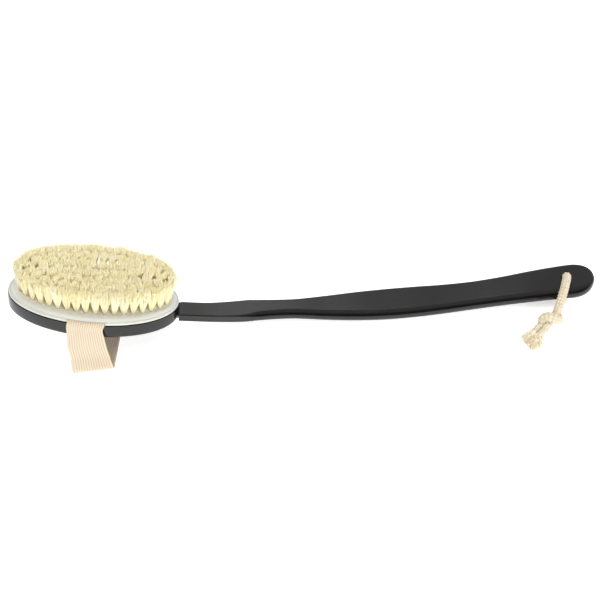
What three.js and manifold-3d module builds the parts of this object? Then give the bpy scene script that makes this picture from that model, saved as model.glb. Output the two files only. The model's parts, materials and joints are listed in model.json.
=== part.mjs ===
// Long-handled dry body brush, at rest on a table with its bristles up.
//
// Millimetres, +Z up, +X from the head towards the tip of the handle. The origin is on the table,
// under the middle of the brush without its hanging cord. The head leans on its cloth hand strap,
// so everything rigid is drawn in the head's own frame (x along the head, z out of the bristles,
// zero in the middle of the board's top face) and tilted as one. The strap and the cord are soft
// and lie on the table, so they are drawn in the table's frame, measured from the same middle.

import * as THREE from 'three';
import { mergeVertices } from 'three/addons/utils/BufferGeometryUtils.js';
import Module from 'manifold-3d';

const wasm = await Module();
wasm.setup();

// How the brush rests
const TILT = THREE.MathUtils.degToRad(13.8);
const HEAD_CENTRE = new THREE.Vector3(-151.85, 3.336, 39.1);

// General clearances
const GAP = 0.25;              // between pieces that touch
const ELLIPSE_SIDES = 72;

// Head board: an oval of lacquered wood with a rounded lower edge
const BOARD_A = 63.7;
const BOARD_B = 34.2;
const OVAL_X = -0.7;           // the oval's middle lies a little away from the handle
const BOARD_THICKNESS = 12.0;
const BOARD_LOWER_ROUND = 2.6;
const BOARD_ARRIS = 0.3;

// Bristle plate: a white oval with a straight rim and a shallow bevel
const PLATE_A = 63.3;
const PLATE_B = 33.8;
const PLATE_TOP = 3.5;
const PLATE_RIM = 1.9;
const PLATE_BEVEL = 3.4;

// Tufts: three oval rows and a straight one in the middle
const TUFT_ROWS = [
  { a: 55.8, b: 24.4, tufts: 38, tip: 25.2, lean: 3.3 },
  { a: 47.8, b: 16.8, tufts: 31, tip: 24.5, lean: 2.0 },
  { a: 39.8, b: 9.2, tufts: 24, tip: 24.1, lean: 1.0 },
];
const MIDDLE_ROW = { reach: 27, tufts: 9, tip: 23.6 };
const TUFT_ROOT = { half: 1.5, waist: 0.7 };
const TUFT_TIP = { half: 3.3, waist: 2.8 };

// Dovetail: the handle's tongue slides in a groove in the board's underside
const TONGUE_TOP = -6.0;
const TONGUE_BOTTOM = -9.8;
const TONGUE_UPPER_HALF = 7.7;
const TONGUE_LOWER_HALF = 5.7;
const TONGUE_END = 16.6;
const SHOULDER = 63.7;

// Handle, from the shoulder to the round end: x, width, top, thickness, corner radius, and how far
// each side leans in towards the bottom
const HANDLE = [
  [63.7, 15.6, -4.9, 7.3, 0.8, 1],
  [85, 15.8, -3.3, 7.3, 0.8, 1],
  [103, 17.6, -0.4, 7.4, 0.8, 1],
  [114, 19.2, 2.2, 7.8, 1.9, 0.6],
  [122, 19.4, 4.3, 8.4, 3.8, 0.1],
  [134, 18.3, 6.6, 8.6, 4.2, 0],
  [150, 18.3, 9.4, 8.7, 4.3, 0],
  [172, 23.2, 13.2, 8.9, 4.4, 0],
  [194, 27.9, 17.6, 9.1, 4.5, 0],
  [216, 30.5, 22.2, 9.1, 4.5, 0],
  [237, 30.5, 27.1, 9.1, 4.5, 0],
  [258, 28.8, 32.4, 9.1, 4.5, 0],
  [279, 27.5, 38.5, 9.1, 4.5, 0],
  [300, 28.4, 45.4, 9.1, 4.5, 0],
  [321, 30.9, 52.6, 9.1, 4.5, 0],
  [343, 33.1, 59.4, 9.1, 4.5, 0],
  [366, 34.3, 65.5, 9.1, 4.5, 0],
];
const HANDLE_TIP = 364.1;
const TIP_ROUND = 17;
const HANDLE_STEP = 5.5;
const CORNER_STEPS = 4;

// Cord hole near the tip
const HOLE_X = 344.6;
const HOLE_R = 3.35;
const HOLE_FLARE = 1.3;

// Hand strap of woven cotton, clamped at both long sides in channels under the plate
const STRAP_THICKNESS = 1.5;
const STRAP_MID = 1.0;         // its middle layer, over the board's top face
const STRAP_REACH = 19.4;      // how near its ends come to the head's long axis
const CHANNEL_TOP = 2.0;
const CHANNEL_REACH = 18.6;
// Each edge: its x in the clamp, the nip beside the board, its way down to the table, and where it
// folds at the front and lifts at the rear
const STRAP_LEFT = {
  x: -15.8, nip: -0.2, down: [[-17.2, -37.2, 32], [-18.5, -38.9, 23.5], [-18.9, -40.4, 12.5]],
  front: [-19.4, -43.2], rear: [-16.4, 5],
};
const STRAP_RIGHT = {
  x: 11.5, nip: -1.1, down: [[9.5, -36.9, 29], [9.5, -38.2, 21], [10.2, -39.4, 11]],
  front: [11.3, -41.8], rear: [11.7, 6],
};

// Staples that hold the strap's ends down on the board
const STAPLE = { crown: 9, leg: 6.2, wire: 0.65, depth: 1.3, y: 25.5, spread: 6.6, x: -2.2 };

// Hanging cord
const CORD_R = 2.9;
const CORD_SIDES = 12;
const KNOT = { radii: [8.4, 6.3, 6.1], turn: 20, centre: [331.4, -33.9, 6.15] };
const TAIL_RADII = { start: 2.5, wide: 4.6, high: 2.9 };

const lacquer = { color: 0x1b1a19, roughness: 0.42, metalness: 0 };
const plastic = { color: 0xf1f1ee, roughness: 0.4, metalness: 0 };
const bristle = { color: 0xf0e2b4, roughness: 0.75, metalness: 0 };
const cotton = { color: 0xf0dfc6, roughness: 0.95, metalness: 0 };
const steel = { color: 0xb9bcbf, roughness: 0.35, metalness: 1 };

function vec(x, y, z) {
  return new THREE.Vector3(x, y, z);
}

function node(name, geometry, material) {
  const mesh = new THREE.Mesh(geometry, new THREE.MeshStandardMaterial(material));
  mesh.name = name;
  return mesh;
}

// A closed solid through rings of equal count; each ring runs anticlockwise seen from the next one.
function loft(rings, joined = false) {
  const count = rings[0].length;
  const positions = rings.flat().flatMap((p) => [p.x, p.y, p.z]);
  const index = [];
  const last = joined ? rings.length : rings.length - 1;
  for (let r = 0; r < last; r += 1) {
    const low = r * count;
    const high = ((r + 1) % rings.length) * count;
    for (let i = 0; i < count; i += 1) {
      const j = (i + 1) % count;
      index.push(low + i, low + j, high + j, low + i, high + j, high + i);
    }
  }
  if (!joined) {
    const top = (rings.length - 1) * count;
    for (let i = 1; i < count - 1; i += 1) {
      index.push(0, i + 1, i);
      index.push(top, top + i, top + i + 1);
    }
  }
  const geometry = new THREE.BufferGeometry();
  geometry.setAttribute('position', new THREE.Float32BufferAttribute(positions, 3));
  geometry.setIndex(index);
  geometry.computeVertexNormals();
  return geometry;
}

function toSolid(geometry) {
  const bare = geometry.clone();
  bare.deleteAttribute('normal');
  bare.deleteAttribute('uv');
  const merged = mergeVertices(bare, 1e-4);
  return new wasm.Manifold(new wasm.Mesh({
    numProp: 3,
    vertProperties: new Float32Array(merged.attributes.position.array),
    triVerts: new Uint32Array(merged.index.array),
  }));
}

function toGeometry(solid) {
  const mesh = solid.getMesh();
  const geometry = new THREE.BufferGeometry();
  geometry.setAttribute('position', new THREE.BufferAttribute(new Float32Array(mesh.vertProperties), 3));
  geometry.setIndex(new THREE.BufferAttribute(new Uint32Array(mesh.triVerts), 1));
  geometry.computeVertexNormals();
  return geometry;
}

function cut(geometry, cutters) {
  const solid = cutters.reduce((rest, cutter) => rest.subtract(toSolid(cutter)), toSolid(geometry));
  return toGeometry(solid);
}

// A stack of the head's ovals, from the lowest level to the highest
function ovalStack(a, b, levels) {
  return loft(levels.map(({ z, inset }) => {
    const ring = [];
    for (let i = 0; i < ELLIPSE_SIDES; i += 1) {
      const t = (2 * Math.PI * i) / ELLIPSE_SIDES;
      ring.push(vec(OVAL_X + (a - inset) * Math.cos(t), (b - inset) * Math.sin(t), z));
    }
    return ring;
  }));
}

// A prism along x with a section given as y, z corners, anticlockwise seen from +X
function prismX(section, x0, x1) {
  return loft([x0, x1].map((x) => section.map(([y, z]) => vec(x, y, z))));
}

function boxSection(y0, y1, z0, z1) {
  return [[y0, z0], [y1, z0], [y1, z1], [y0, z1]];
}

function dovetailSection(clearance, floor) {
  const slope = (TONGUE_UPPER_HALF - TONGUE_LOWER_HALF) / (TONGUE_TOP - TONGUE_BOTTOM);
  const top = TONGUE_TOP + clearance;
  const upper = TONGUE_UPPER_HALF + clearance;
  const lower = TONGUE_LOWER_HALF + clearance + slope * (floor - TONGUE_BOTTOM);
  return [[-lower, floor], [lower, floor], [upper, top], [-upper, top]];
}

function staple(side, x, clearance) {
  const half = STAPLE.crown / 2 + clearance;
  const wire = STAPLE.wire + 2 * clearance;
  const top = STRAP_MID + STRAP_THICKNESS / 2 + clearance;
  const foot = top - STAPLE.leg - 2 * clearance;
  const outline = new THREE.Shape();
  outline.moveTo(-half, foot);
  outline.lineTo(-half + wire, foot);
  outline.lineTo(-half + wire, top - wire);
  outline.lineTo(half - wire, top - wire);
  outline.lineTo(half - wire, foot);
  outline.lineTo(half, foot);
  outline.lineTo(half, top);
  outline.lineTo(-half, top);
  const depth = STAPLE.depth + 2 * clearance;
  const geometry = new THREE.ExtrudeGeometry(outline, { depth, bevelEnabled: false });
  geometry.translate(0, 0, -depth / 2);
  geometry.rotateX(Math.PI / 2);
  geometry.translate(x, side * STAPLE.y, 0);
  return geometry;
}

function stapleSpots() {
  const spots = [];
  for (const [word, side] of [['front', -1], ['rear', 1]]) {
    for (const [number, step] of [[1, -1], [2, 1]]) {
      spots.push({ name: `strap_staple_${word}_${number}`, side, x: STAPLE.x + step * STAPLE.spread });
    }
  }
  return spots;
}

function headBoard() {
  const levels = [];
  for (let i = 0; i <= 4; i += 1) {
    const t = (Math.PI / 2) * (i / 4);
    levels.push({
      z: -BOARD_THICKNESS + BOARD_LOWER_ROUND * (1 - Math.cos(t)),
      inset: BOARD_LOWER_ROUND * (1 - Math.sin(t)),
    });
  }
  levels.push({ z: -BOARD_ARRIS, inset: 0 }, { z: 0, inset: BOARD_ARRIS });
  const groove = prismX(dovetailSection(GAP, -BOARD_THICKNESS - 1), TONGUE_END - GAP, BOARD_A + 5);
  const cutters = [groove];
  for (const { side, x } of stapleSpots()) cutters.push(staple(side, x, 0.12));
  return cut(ovalStack(BOARD_A, BOARD_B, levels), cutters);
}

function bristlePlate() {
  const body = ovalStack(PLATE_A, PLATE_B, [
    { z: GAP, inset: 0 },
    { z: PLATE_RIM, inset: 0 },
    { z: PLATE_RIM + 0.75, inset: 0.7 },
    { z: PLATE_TOP - 0.35, inset: PLATE_BEVEL - 0.6 },
    { z: PLATE_TOP, inset: PLATE_BEVEL },
  ]);
  const channels = [-1, 1].map((side) => {
    const y = [side * CHANNEL_REACH, side * (BOARD_B + 2)].sort((m, n) => m - n);
    return prismX(boxSection(y[0], y[1], -1, CHANNEL_TOP), STRAP_LEFT.x - GAP, STRAP_RIGHT.x + GAP);
  });
  return cut(body, channels);
}

// The section of a row of tufts, across the row: narrow at the root and flaring to the tips
function tuftSection(point, across, lean, tip, widest) {
  const root = widest ? TUFT_ROOT.half : TUFT_ROOT.waist;
  const top = widest ? TUFT_TIP.half : TUFT_TIP.waist;
  const low = PLATE_TOP + GAP;
  const corner = (offset, z) => point.clone().addScaledVector(across, offset).setZ(z);
  return [
    corner(root, low), corner(lean + top, tip - (widest ? 0 : 1.2)),
    corner(lean - top, tip - (widest ? 0 : 1.2)), corner(-root, low),
  ];
}

function tuftRing({ a, b, tufts, tip, lean }) {
  const rings = [];
  for (let i = 0; i < 2 * tufts; i += 1) {
    const t = (Math.PI * i) / tufts;
    const across = vec(b * Math.cos(t), a * Math.sin(t), 0).normalize();
    const point = vec(a * Math.cos(t), b * Math.sin(t), 0);
    rings.push(tuftSection(point, across, lean, tip, i % 2 === 0).reverse());
  }
  return loft(rings, true);
}

function tuftRow({ reach, tufts, tip }) {
  const rings = [];
  const stations = 2 * tufts - 1;
  for (let i = 0; i < stations; i += 1) {
    const x = -reach + (2 * reach * i) / (stations - 1);
    rings.push(tuftSection(vec(x, 0, 0), vec(0, 1, 0), 0, tip, i % 2 === 0));
  }
  return loft(rings);
}

// One value of the handle's table at x, by a smooth curve through its rows
function handleValue(column, x) {
  const rows = HANDLE;
  let i = rows.findIndex((row) => row[0] > x) - 1;
  if (i < -1) i = rows.length - 2;
  i = Math.max(i, 0);
  const slope = (k) => {
    const before = rows[Math.max(k - 1, 0)];
    const after = rows[Math.min(k + 1, rows.length - 1)];
    return (after[column] - before[column]) / (after[0] - before[0]);
  };
  const h = rows[i + 1][0] - rows[i][0];
  const s = Math.min(Math.max((x - rows[i][0]) / h, 0), 1);
  const start = (2 * s ** 3 - 3 * s ** 2 + 1) * rows[i][column];
  const end = (3 * s ** 2 - 2 * s ** 3) * rows[i + 1][column];
  const bends = (s ** 3 - 2 * s ** 2 + s) * slope(i) + (s ** 3 - s ** 2) * slope(i + 1);
  return start + end + h * bends;
}

// A rounded rectangle across the handle at x, anticlockwise seen from +X
function handleSection(x) {
  const endX = HANDLE_TIP - TIP_ROUND;
  const past = Math.min(Math.max((x - endX) / TIP_ROUND, 0), 0.995);
  const width = handleValue(1, x) * Math.sqrt(1 - past ** 2.2);
  const thickness = handleValue(3, x) * (1 - 0.55 * past ** 9);
  const top = handleValue(2, x) - (handleValue(3, x) - thickness) / 2;
  const radius = Math.min(handleValue(4, x), width / 2 - 0.05, thickness / 2 - 0.05);
  const ring = [];
  const corners = [[-1, -1, Math.PI], [1, -1, 1.5 * Math.PI], [1, 1, 0], [-1, 1, 0.5 * Math.PI]];
  for (const [sy, sz, from] of corners) {
    const lean = sz < 0 ? handleValue(5, x) : 0;
    const y = sy * (width / 2 - lean - radius);
    const z = top - thickness / 2 + sz * (thickness / 2 - radius);
    for (let i = 0; i <= CORNER_STEPS; i += 1) {
      const t = from + (Math.PI / 2) * (i / CORNER_STEPS);
      ring.push(vec(x, y + radius * Math.cos(t), z + radius * Math.sin(t)));
    }
  }
  return ring;
}

// The cord hole's core: a plain bore that flares at both faces, upright when the brush rests
function cordHole() {
  const half = handleValue(3, HOLE_X) / 2;
  const profile = [
    [0, -half - 6], [HOLE_R + HOLE_FLARE + 6, -half - 6], [HOLE_R + HOLE_FLARE, -half],
    [HOLE_R + 0.3 * HOLE_FLARE, -half + 0.5 * HOLE_FLARE], [HOLE_R, -half + 1.2 * HOLE_FLARE],
    [HOLE_R, half - 1.2 * HOLE_FLARE], [HOLE_R + 0.3 * HOLE_FLARE, half - 0.5 * HOLE_FLARE],
    [HOLE_R + HOLE_FLARE, half], [HOLE_R + HOLE_FLARE + 6, half + 6], [0, half + 6],
  ];
  const core = new THREE.LatheGeometry(profile.map(([r, y]) => new THREE.Vector2(r, y)), 24);
  core.rotateX(Math.PI / 2);
  core.rotateY(-TILT);
  core.translate(HOLE_X, 0, handleValue(2, HOLE_X) - half);
  return core;
}

function handle() {
  const stations = [];
  const straight = HANDLE_TIP - TIP_ROUND;
  const steps = Math.round((straight - SHOULDER) / HANDLE_STEP);
  for (let i = 0; i <= steps; i += 1) stations.push(SHOULDER + ((straight - SHOULDER) * i) / steps);
  for (let i = 1; i <= 8; i += 1) {
    stations.push(straight + TIP_ROUND * Math.sin((Math.PI / 2) * (i / 8)));
  }
  const grip = toSolid(loft(stations.map(handleSection)));
  const tongue = toSolid(prismX(dovetailSection(0, TONGUE_BOTTOM), TONGUE_END, SHOULDER + 2));
  const joined = toGeometry(grip.add(tongue));
  return cut(joined, [cordHole()]);
}

// From the head's own frame to the table's, both measured from the head's middle
function tilted(x, y, z) {
  return vec(x, y, z).applyAxisAngle(vec(0, 1, 0), TILT).add(vec(0, 0, HEAD_CENTRE.z));
}

// One edge of the strap: out of the front clamp, down, along the table and up to the rear clamp
function strapEdge({ x, nip, down, front, rear }) {
  const bend = (side, shift) => [
    tilted(x, side * STRAP_REACH, STRAP_MID),
    tilted(x, side * 27, STRAP_MID),
    tilted(x, side * (BOARD_B - 1.0), STRAP_MID),
    tilted(x, side * (BOARD_B + 0.4), STRAP_MID - 0.25),
    tilted(x + shift * 0.6, side * (BOARD_B + 1.3), STRAP_MID - 1.4),
    tilted(x + shift, side * (BOARD_B + 1.6), STRAP_MID - 4),
  ];
  const [frontX, frontY] = front;
  const [rearX, rearY] = rear;
  const points = [
    ...bend(-1, nip),
    ...down.map((p) => vec(...p)),
    vec(frontX, frontY - 0.3, 5),
    vec(frontX, frontY + 0.5, 2.1),
    vec(frontX, frontY + 2.4, 0.95),
    vec(frontX, frontY + 6.0, 0.78),
    vec((frontX + rearX) / 2, -14, 0.76),
    vec(rearX, rearY - 4, 0.76),
    vec(rearX + 0.2, rearY + 1, 1.0),
    vec(rearX + 0.6, rearY + 8, 3.4),
    vec(rearX + 1.2, 26, 14),
    tilted(x, BOARD_B + 2.1, -14.5),
    ...bend(1, 0).reverse(),
  ];
  return new THREE.CatmullRomCurve3(points, false, 'centripetal');
}

function handStrap() {
  const left = strapEdge(STRAP_LEFT);
  const right = strapEdge(STRAP_RIGHT);
  const rings = [];
  const perPoint = 3;
  const steps = (left.points.length - 1) * perPoint;
  for (let i = 0; i <= steps; i += 1) {
    const t = i / steps;
    const a = left.getPoint(t);
    const b = right.getPoint(t);
    const along = left.getTangent(t).add(right.getTangent(t));
    const normal = along.cross(b.clone().sub(a)).normalize();
    const half = STRAP_THICKNESS / 2;
    const corner = (edge, side) => edge.clone().addScaledVector(normal, side * half);
    rings.push([corner(a, -1), corner(b, -1), corner(b, 1), corner(a, 1)]);
  }
  const strap = loft(rings);
  const cutters = stapleSpots().map(({ side, x }) => {
    const hole = staple(side, x, 0.12);
    hole.rotateY(TILT);
    hole.translate(0, 0, HEAD_CENTRE.z);
    return hole;
  });
  return cut(strap, cutters);
}

function tube(points, radius, steps) {
  const outline = new THREE.Shape();
  for (let i = 0; i < CORD_SIDES; i += 1) {
    const t = (2 * Math.PI * i) / CORD_SIDES;
    outline[i ? 'lineTo' : 'moveTo'](radius * Math.cos(t), radius * Math.sin(t));
  }
  const extrudePath = new THREE.CatmullRomCurve3(points, false, 'centripetal');
  return new THREE.ExtrudeGeometry(outline, { steps, extrudePath, bevelEnabled: false });
}

function cordOverEdge() {
  return tube([
    vec(347.85, 0, 11), vec(347.85, -0.05, 15.6), vec(347.8, -2.2, 18.6), vec(347.3, -6.4, 19.1),
    vec(346.0, -11.4, 18.8), vec(344.3, -16.6, 18.0), vec(342.6, -20.8, 16.0), vec(340.7, -24.6, 13.2),
    vec(339.4, -27.2, 11.2), vec(338.1, -29.7, 9.5),
  ], CORD_R, 24);
}

function cordUnderEdge() {
  return tube([
    vec(347.85, 0, 10.6), vec(347.85, -0.1, 6.6), vec(347.5, -3.0, 3.6), vec(345.6, -8.6, 2.95),
    vec(342.4, -14.4, 2.95), vec(339.8, -20.0, 2.95), vec(338.2, -23.4, 2.95), vec(337.2, -27.2, 2.95),
  ], CORD_R, 20);
}

// The knot's bulk: a squat lump lying on the table
function cordKnot() {
  const lump = new THREE.SphereGeometry(1, 16, 12);
  lump.scale(...KNOT.radii);
  lump.rotateZ(THREE.MathUtils.degToRad(KNOT.turn));
  lump.translate(...KNOT.centre);
  return lump;
}

// A tail of cord that frays and spreads towards its end
function cordTail(points) {
  const curve = new THREE.CatmullRomCurve3(points, false, 'centripetal');
  const rings = [];
  for (let i = 0; i <= 8; i += 1) {
    const t = i / 8;
    const centre = curve.getPoint(t);
    const along = curve.getTangent(t);
    const side = vec(-along.y, along.x, 0).normalize();
    const up = along.clone().cross(side);
    const wide = THREE.MathUtils.lerp(TAIL_RADII.start, TAIL_RADII.wide, t);
    const high = THREE.MathUtils.lerp(TAIL_RADII.start, TAIL_RADII.high, t);
    const ring = [];
    for (let k = 0; k < CORD_SIDES; k += 1) {
      const angle = (2 * Math.PI * k) / CORD_SIDES;
      const offset = side.clone().multiplyScalar(wide * Math.cos(angle));
      ring.push(centre.clone().add(offset).addScaledVector(up, high * Math.sin(angle)));
    }
    rings.push(ring);
  }
  return loft(rings);
}

const brush = new THREE.Group();
brush.position.set(HEAD_CENTRE.x, HEAD_CENTRE.y, 0);

const rigid = new THREE.Group();
rigid.position.set(0, 0, HEAD_CENTRE.z);
rigid.rotation.y = TILT;
brush.add(rigid);

rigid.add(node('head_board', headBoard(), lacquer));
rigid.add(node('bristle_plate', bristlePlate(), plastic));
TUFT_ROWS.forEach((row, i) => {
  rigid.add(node(`bristle_row_${i + 1}`, tuftRing(row), bristle));
});
rigid.add(node('bristle_row_middle', tuftRow(MIDDLE_ROW), bristle));
for (const { name, side, x } of stapleSpots()) rigid.add(node(name, staple(side, x, 0), steel));
rigid.add(node('handle', handle(), lacquer));

brush.add(node('hand_strap', handStrap(), cotton));
brush.add(node('cord_over_edge', cordOverEdge(), cotton));
brush.add(node('cord_under_edge', cordUnderEdge(), cotton));
brush.add(node('cord_knot', cordKnot(), cotton));
brush.add(node('cord_tail_left', cordTail([
  vec(323.4, -38.2, 3.2), vec(316.4, -44.6, 3.2), vec(308.4, -52.2, 3.2),
]), cotton));
brush.add(node('cord_tail_right', cordTail([
  vec(328.0, -41.2, 3.2), vec(322.9, -49.4, 3.2), vec(318.2, -61.8, 3.2),
]), cotton));

export default brush;
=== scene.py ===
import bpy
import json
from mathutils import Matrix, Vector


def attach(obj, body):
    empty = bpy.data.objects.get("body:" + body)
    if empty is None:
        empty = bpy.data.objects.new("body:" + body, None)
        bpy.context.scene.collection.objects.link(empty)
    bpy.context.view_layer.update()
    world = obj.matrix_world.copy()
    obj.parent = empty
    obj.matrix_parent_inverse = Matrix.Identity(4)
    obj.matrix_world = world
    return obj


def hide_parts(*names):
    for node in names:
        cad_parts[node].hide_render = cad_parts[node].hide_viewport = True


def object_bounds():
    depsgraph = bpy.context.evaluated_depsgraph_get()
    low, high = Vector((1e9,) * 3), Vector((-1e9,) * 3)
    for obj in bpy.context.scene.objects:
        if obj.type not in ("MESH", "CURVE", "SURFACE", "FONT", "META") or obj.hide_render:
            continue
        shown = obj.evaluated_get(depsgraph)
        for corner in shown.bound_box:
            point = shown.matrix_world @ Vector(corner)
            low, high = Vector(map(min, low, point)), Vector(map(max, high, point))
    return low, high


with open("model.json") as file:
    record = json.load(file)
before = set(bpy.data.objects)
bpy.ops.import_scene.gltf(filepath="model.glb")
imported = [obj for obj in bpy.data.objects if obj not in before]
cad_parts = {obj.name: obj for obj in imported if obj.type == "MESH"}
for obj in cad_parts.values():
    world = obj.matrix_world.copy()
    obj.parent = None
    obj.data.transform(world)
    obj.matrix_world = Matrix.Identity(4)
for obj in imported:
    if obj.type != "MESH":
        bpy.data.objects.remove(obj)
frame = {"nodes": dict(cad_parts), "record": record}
cad_bounds = [list(corner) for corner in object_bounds()]

import json
import math

import bpy
import numpy as np
from mathutils import Matrix, Vector

# ------------------------------ Where things are. Lengths below are in millimetres, as in the CAD
# model, and MM turns them into metres. The head's frame has x along the head towards the handle, z
# out of the bristles and its zero in the middle of the board's top face. The table's frame has z up
# and its zero on the table under that middle; the cord and the strap's loop are given in it.
MM = 0.001
rng = np.random.default_rng(20)     # turns the rings of thin strands

record = frame["record"]
slide_axis = record["behaviour"]["joints"][0]["axis"]
TILT = math.atan2(-slide_axis[2], slide_axis[0])
TILT_TURN = Matrix.Rotation(TILT, 4, "Y")
back = next(m for m in record["mounts"] if m["name"] == "board_back")
BACK_IN_HEAD = Vector((-40, 0, -12)) * MM
HEAD_MIDDLE = Vector(back["pos_m"]) - (TILT_TURN @ BACK_IN_HEAD)
HEAD = np.array(Matrix.Translation(HEAD_MIDDLE) @ TILT_TURN)
TABLE_SHIFT = np.array([HEAD_MIDDLE.x, HEAD_MIDDLE.y, 0.0])
HEAD_HEIGHT = HEAD_MIDDLE.z / MM


def head_to_row(points):
    """Points in the head's frame, in mm, to metres in the row frame."""
    points = np.asarray(points, float) * MM
    return points @ HEAD[:3, :3].T + HEAD[:3, 3]


def table_to_row(points):
    """Points in the table's frame, in mm from under the head's middle, to metres in the row frame."""
    return np.asarray(points, float) * MM + TABLE_SHIFT


def tilted(x, y, z):
    """Head frame to table frame, both in mm."""
    c, s = math.cos(TILT), math.sin(TILT)
    return (x * c + z * s, y, -x * s + z * c + HEAD_HEIGHT)


# ------------------------------
# Camera
# ------------------------------
SENSOR_WIDTH = 36
CAMERA_CLIP = (0.05, 30)    # m
CAMERA_FROM_HEAD = Vector((245.2, -738.9, 638.6)) * MM


def place_camera(yaw, elevation, roll, position, lens):
    """The scene's camera; elevation is how steeply it looks down, yaw turns it right from +y."""
    sy, cy = math.sin(yaw), math.cos(yaw)
    se, ce = math.sin(elevation), math.cos(elevation)
    forward = Vector((sy * ce, cy * ce, -se))
    right = Vector((cy, -sy, 0))
    up = right.cross(forward)
    right_rolled = math.cos(roll) * right + math.sin(roll) * up
    up_rolled = -math.sin(roll) * right + math.cos(roll) * up
    turn = Matrix((right_rolled, up_rolled, -forward)).transposed().to_4x4()
    data = bpy.data.cameras.new("camera")
    data.sensor_width = SENSOR_WIDTH
    data.lens = lens
    data.clip_start, data.clip_end = CAMERA_CLIP
    camera = bpy.data.objects.new("camera", data)
    bpy.context.scene.collection.objects.link(camera)
    camera.matrix_world = Matrix.Translation(position) @ turn
    bpy.context.scene.camera = camera


place_camera(
    yaw=math.radians(-7.23), elevation=math.radians(39.88), roll=math.radians(-9.87),
    position=CAMERA_FROM_HEAD + Vector((HEAD_MIDDLE.x, HEAD_MIDDLE.y, 0)), lens=78,
)


# ------------------------------
# Curves and meshes
# ------------------------------
SAMPLES_PER_SPAN = 24


def smooth_line(points, count, even=True):
    """A centripetal Catmull-Rom curve through points, sampled at count places, evenly by length or
    else with the same number of places between every two points."""
    p = np.asarray(points, float)
    first, last = 2 * p[0] - p[1], 2 * p[-1] - p[-2]
    q = np.vstack([first, p, last])
    pieces = []
    for i in range(1, len(q) - 2):
        p0, p1, p2, p3 = q[i - 1], q[i], q[i + 1], q[i + 2]
        d = [max(np.linalg.norm(b - a), 1e-9) ** 0.5 for a, b in ((p0, p1), (p1, p2), (p2, p3))]
        t0, t1, t2, t3 = 0, d[0], d[0] + d[1], d[0] + d[1] + d[2]
        t = np.linspace(t1, t2, SAMPLES_PER_SPAN, endpoint=False)[:, None]
        a1 = (t1 - t) / (t1 - t0) * p0 + (t - t0) / (t1 - t0) * p1
        a2 = (t2 - t) / (t2 - t1) * p1 + (t - t1) / (t2 - t1) * p2
        a3 = (t3 - t) / (t3 - t2) * p2 + (t - t2) / (t3 - t2) * p3
        b1 = (t2 - t) / (t2 - t0) * a1 + (t - t0) / (t2 - t0) * a2
        b2 = (t3 - t) / (t3 - t1) * a2 + (t - t1) / (t3 - t1) * a3
        pieces.append((t2 - t) / (t2 - t1) * b1 + (t - t1) / (t2 - t1) * b2)
    line = np.vstack(pieces + [p[-1:]])
    if not even:
        at = np.linspace(0, len(line) - 1, count)
        return np.stack([np.interp(at, np.arange(len(line)), line[:, k]) for k in range(3)], 1)
    return resample(line, count)


def length_so_far(line):
    """The length of a line from its start to each of its points."""
    return np.concatenate([[0], np.cumsum(np.linalg.norm(np.diff(line, axis=0), axis=1))])


def at_lengths(line, so_far, want):
    """The points of a line at the wanted lengths from its start."""
    return np.stack([np.interp(want, so_far, line[:, k]) for k in range(3)], 1)


def resample(line, count):
    so_far = length_so_far(line)
    return at_lengths(line, so_far, np.linspace(0, so_far[-1], count))


def line_length(line):
    return float(np.linalg.norm(np.diff(line, axis=0), axis=1).sum())


def unit(v):
    return v / np.maximum(np.linalg.norm(v, axis=-1, keepdims=True), 1e-12)


def frames_along(line):
    """Two cross directions along a line, which turn with it as little as possible."""
    tangent = unit(np.gradient(line, axis=0))
    a = np.zeros_like(line)
    side = np.array([0.0, 0.0, 1.0])
    for i, t in enumerate(tangent):
        side = side - t * (side @ t)
        if np.linalg.norm(side) < 1e-6:
            side = np.cross(t, (0.3, 0.7, 0.2))
        side = side / np.linalg.norm(side)
        a[i] = side
    return a, np.cross(tangent, a)


def build(name, verts, faces, uv=None):
    """A mesh object from arrays. faces is an array of quads or triangles, or a list of arrays of
    faces, and uv has a row for each face corner."""
    groups = faces if isinstance(faces, list) else [faces]
    groups = [np.asarray(g, int) for g in groups if len(g)]
    mesh = bpy.data.meshes.new(name)
    mesh.vertices.add(len(verts))
    mesh.vertices.foreach_set("co", np.asarray(verts, np.float32).ravel())
    loops = np.concatenate([g.ravel() for g in groups])
    sizes = np.concatenate([np.full(len(g), g.shape[1]) for g in groups])
    mesh.loops.add(len(loops))
    mesh.loops.foreach_set("vertex_index", loops.astype(np.int32))
    mesh.polygons.add(len(sizes))
    starts = np.concatenate([[0], np.cumsum(sizes)[:-1]])
    mesh.polygons.foreach_set("loop_start", starts.astype(np.int32))
    mesh.polygons.foreach_set("loop_total", sizes.astype(np.int32))
    mesh.polygons.foreach_set("use_smooth", np.full(len(sizes), True))
    mesh.update(calc_edges=True)
    mesh.validate()
    if uv is not None:
        layer = mesh.uv_layers.new(name="lay")
        layer.data.foreach_set("uv", np.asarray(uv, np.float32).ravel())
    piece = bpy.data.objects.new(name, mesh)
    bpy.context.scene.collection.objects.link(piece)
    return piece


def grid_faces(rows, columns, wrap=False):
    """Quads of a grid of rows by columns points; wrap joins the last column to the first."""
    across = columns if wrap else columns - 1
    i, j = np.meshgrid(np.arange(rows - 1), np.arange(across), indexing="ij")
    i, j = i.ravel(), j.ravel()
    k = (j + 1) % columns
    return np.stack([i * columns + j, i * columns + k, (i + 1) * columns + k, (i + 1) * columns + j], 1)


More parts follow.
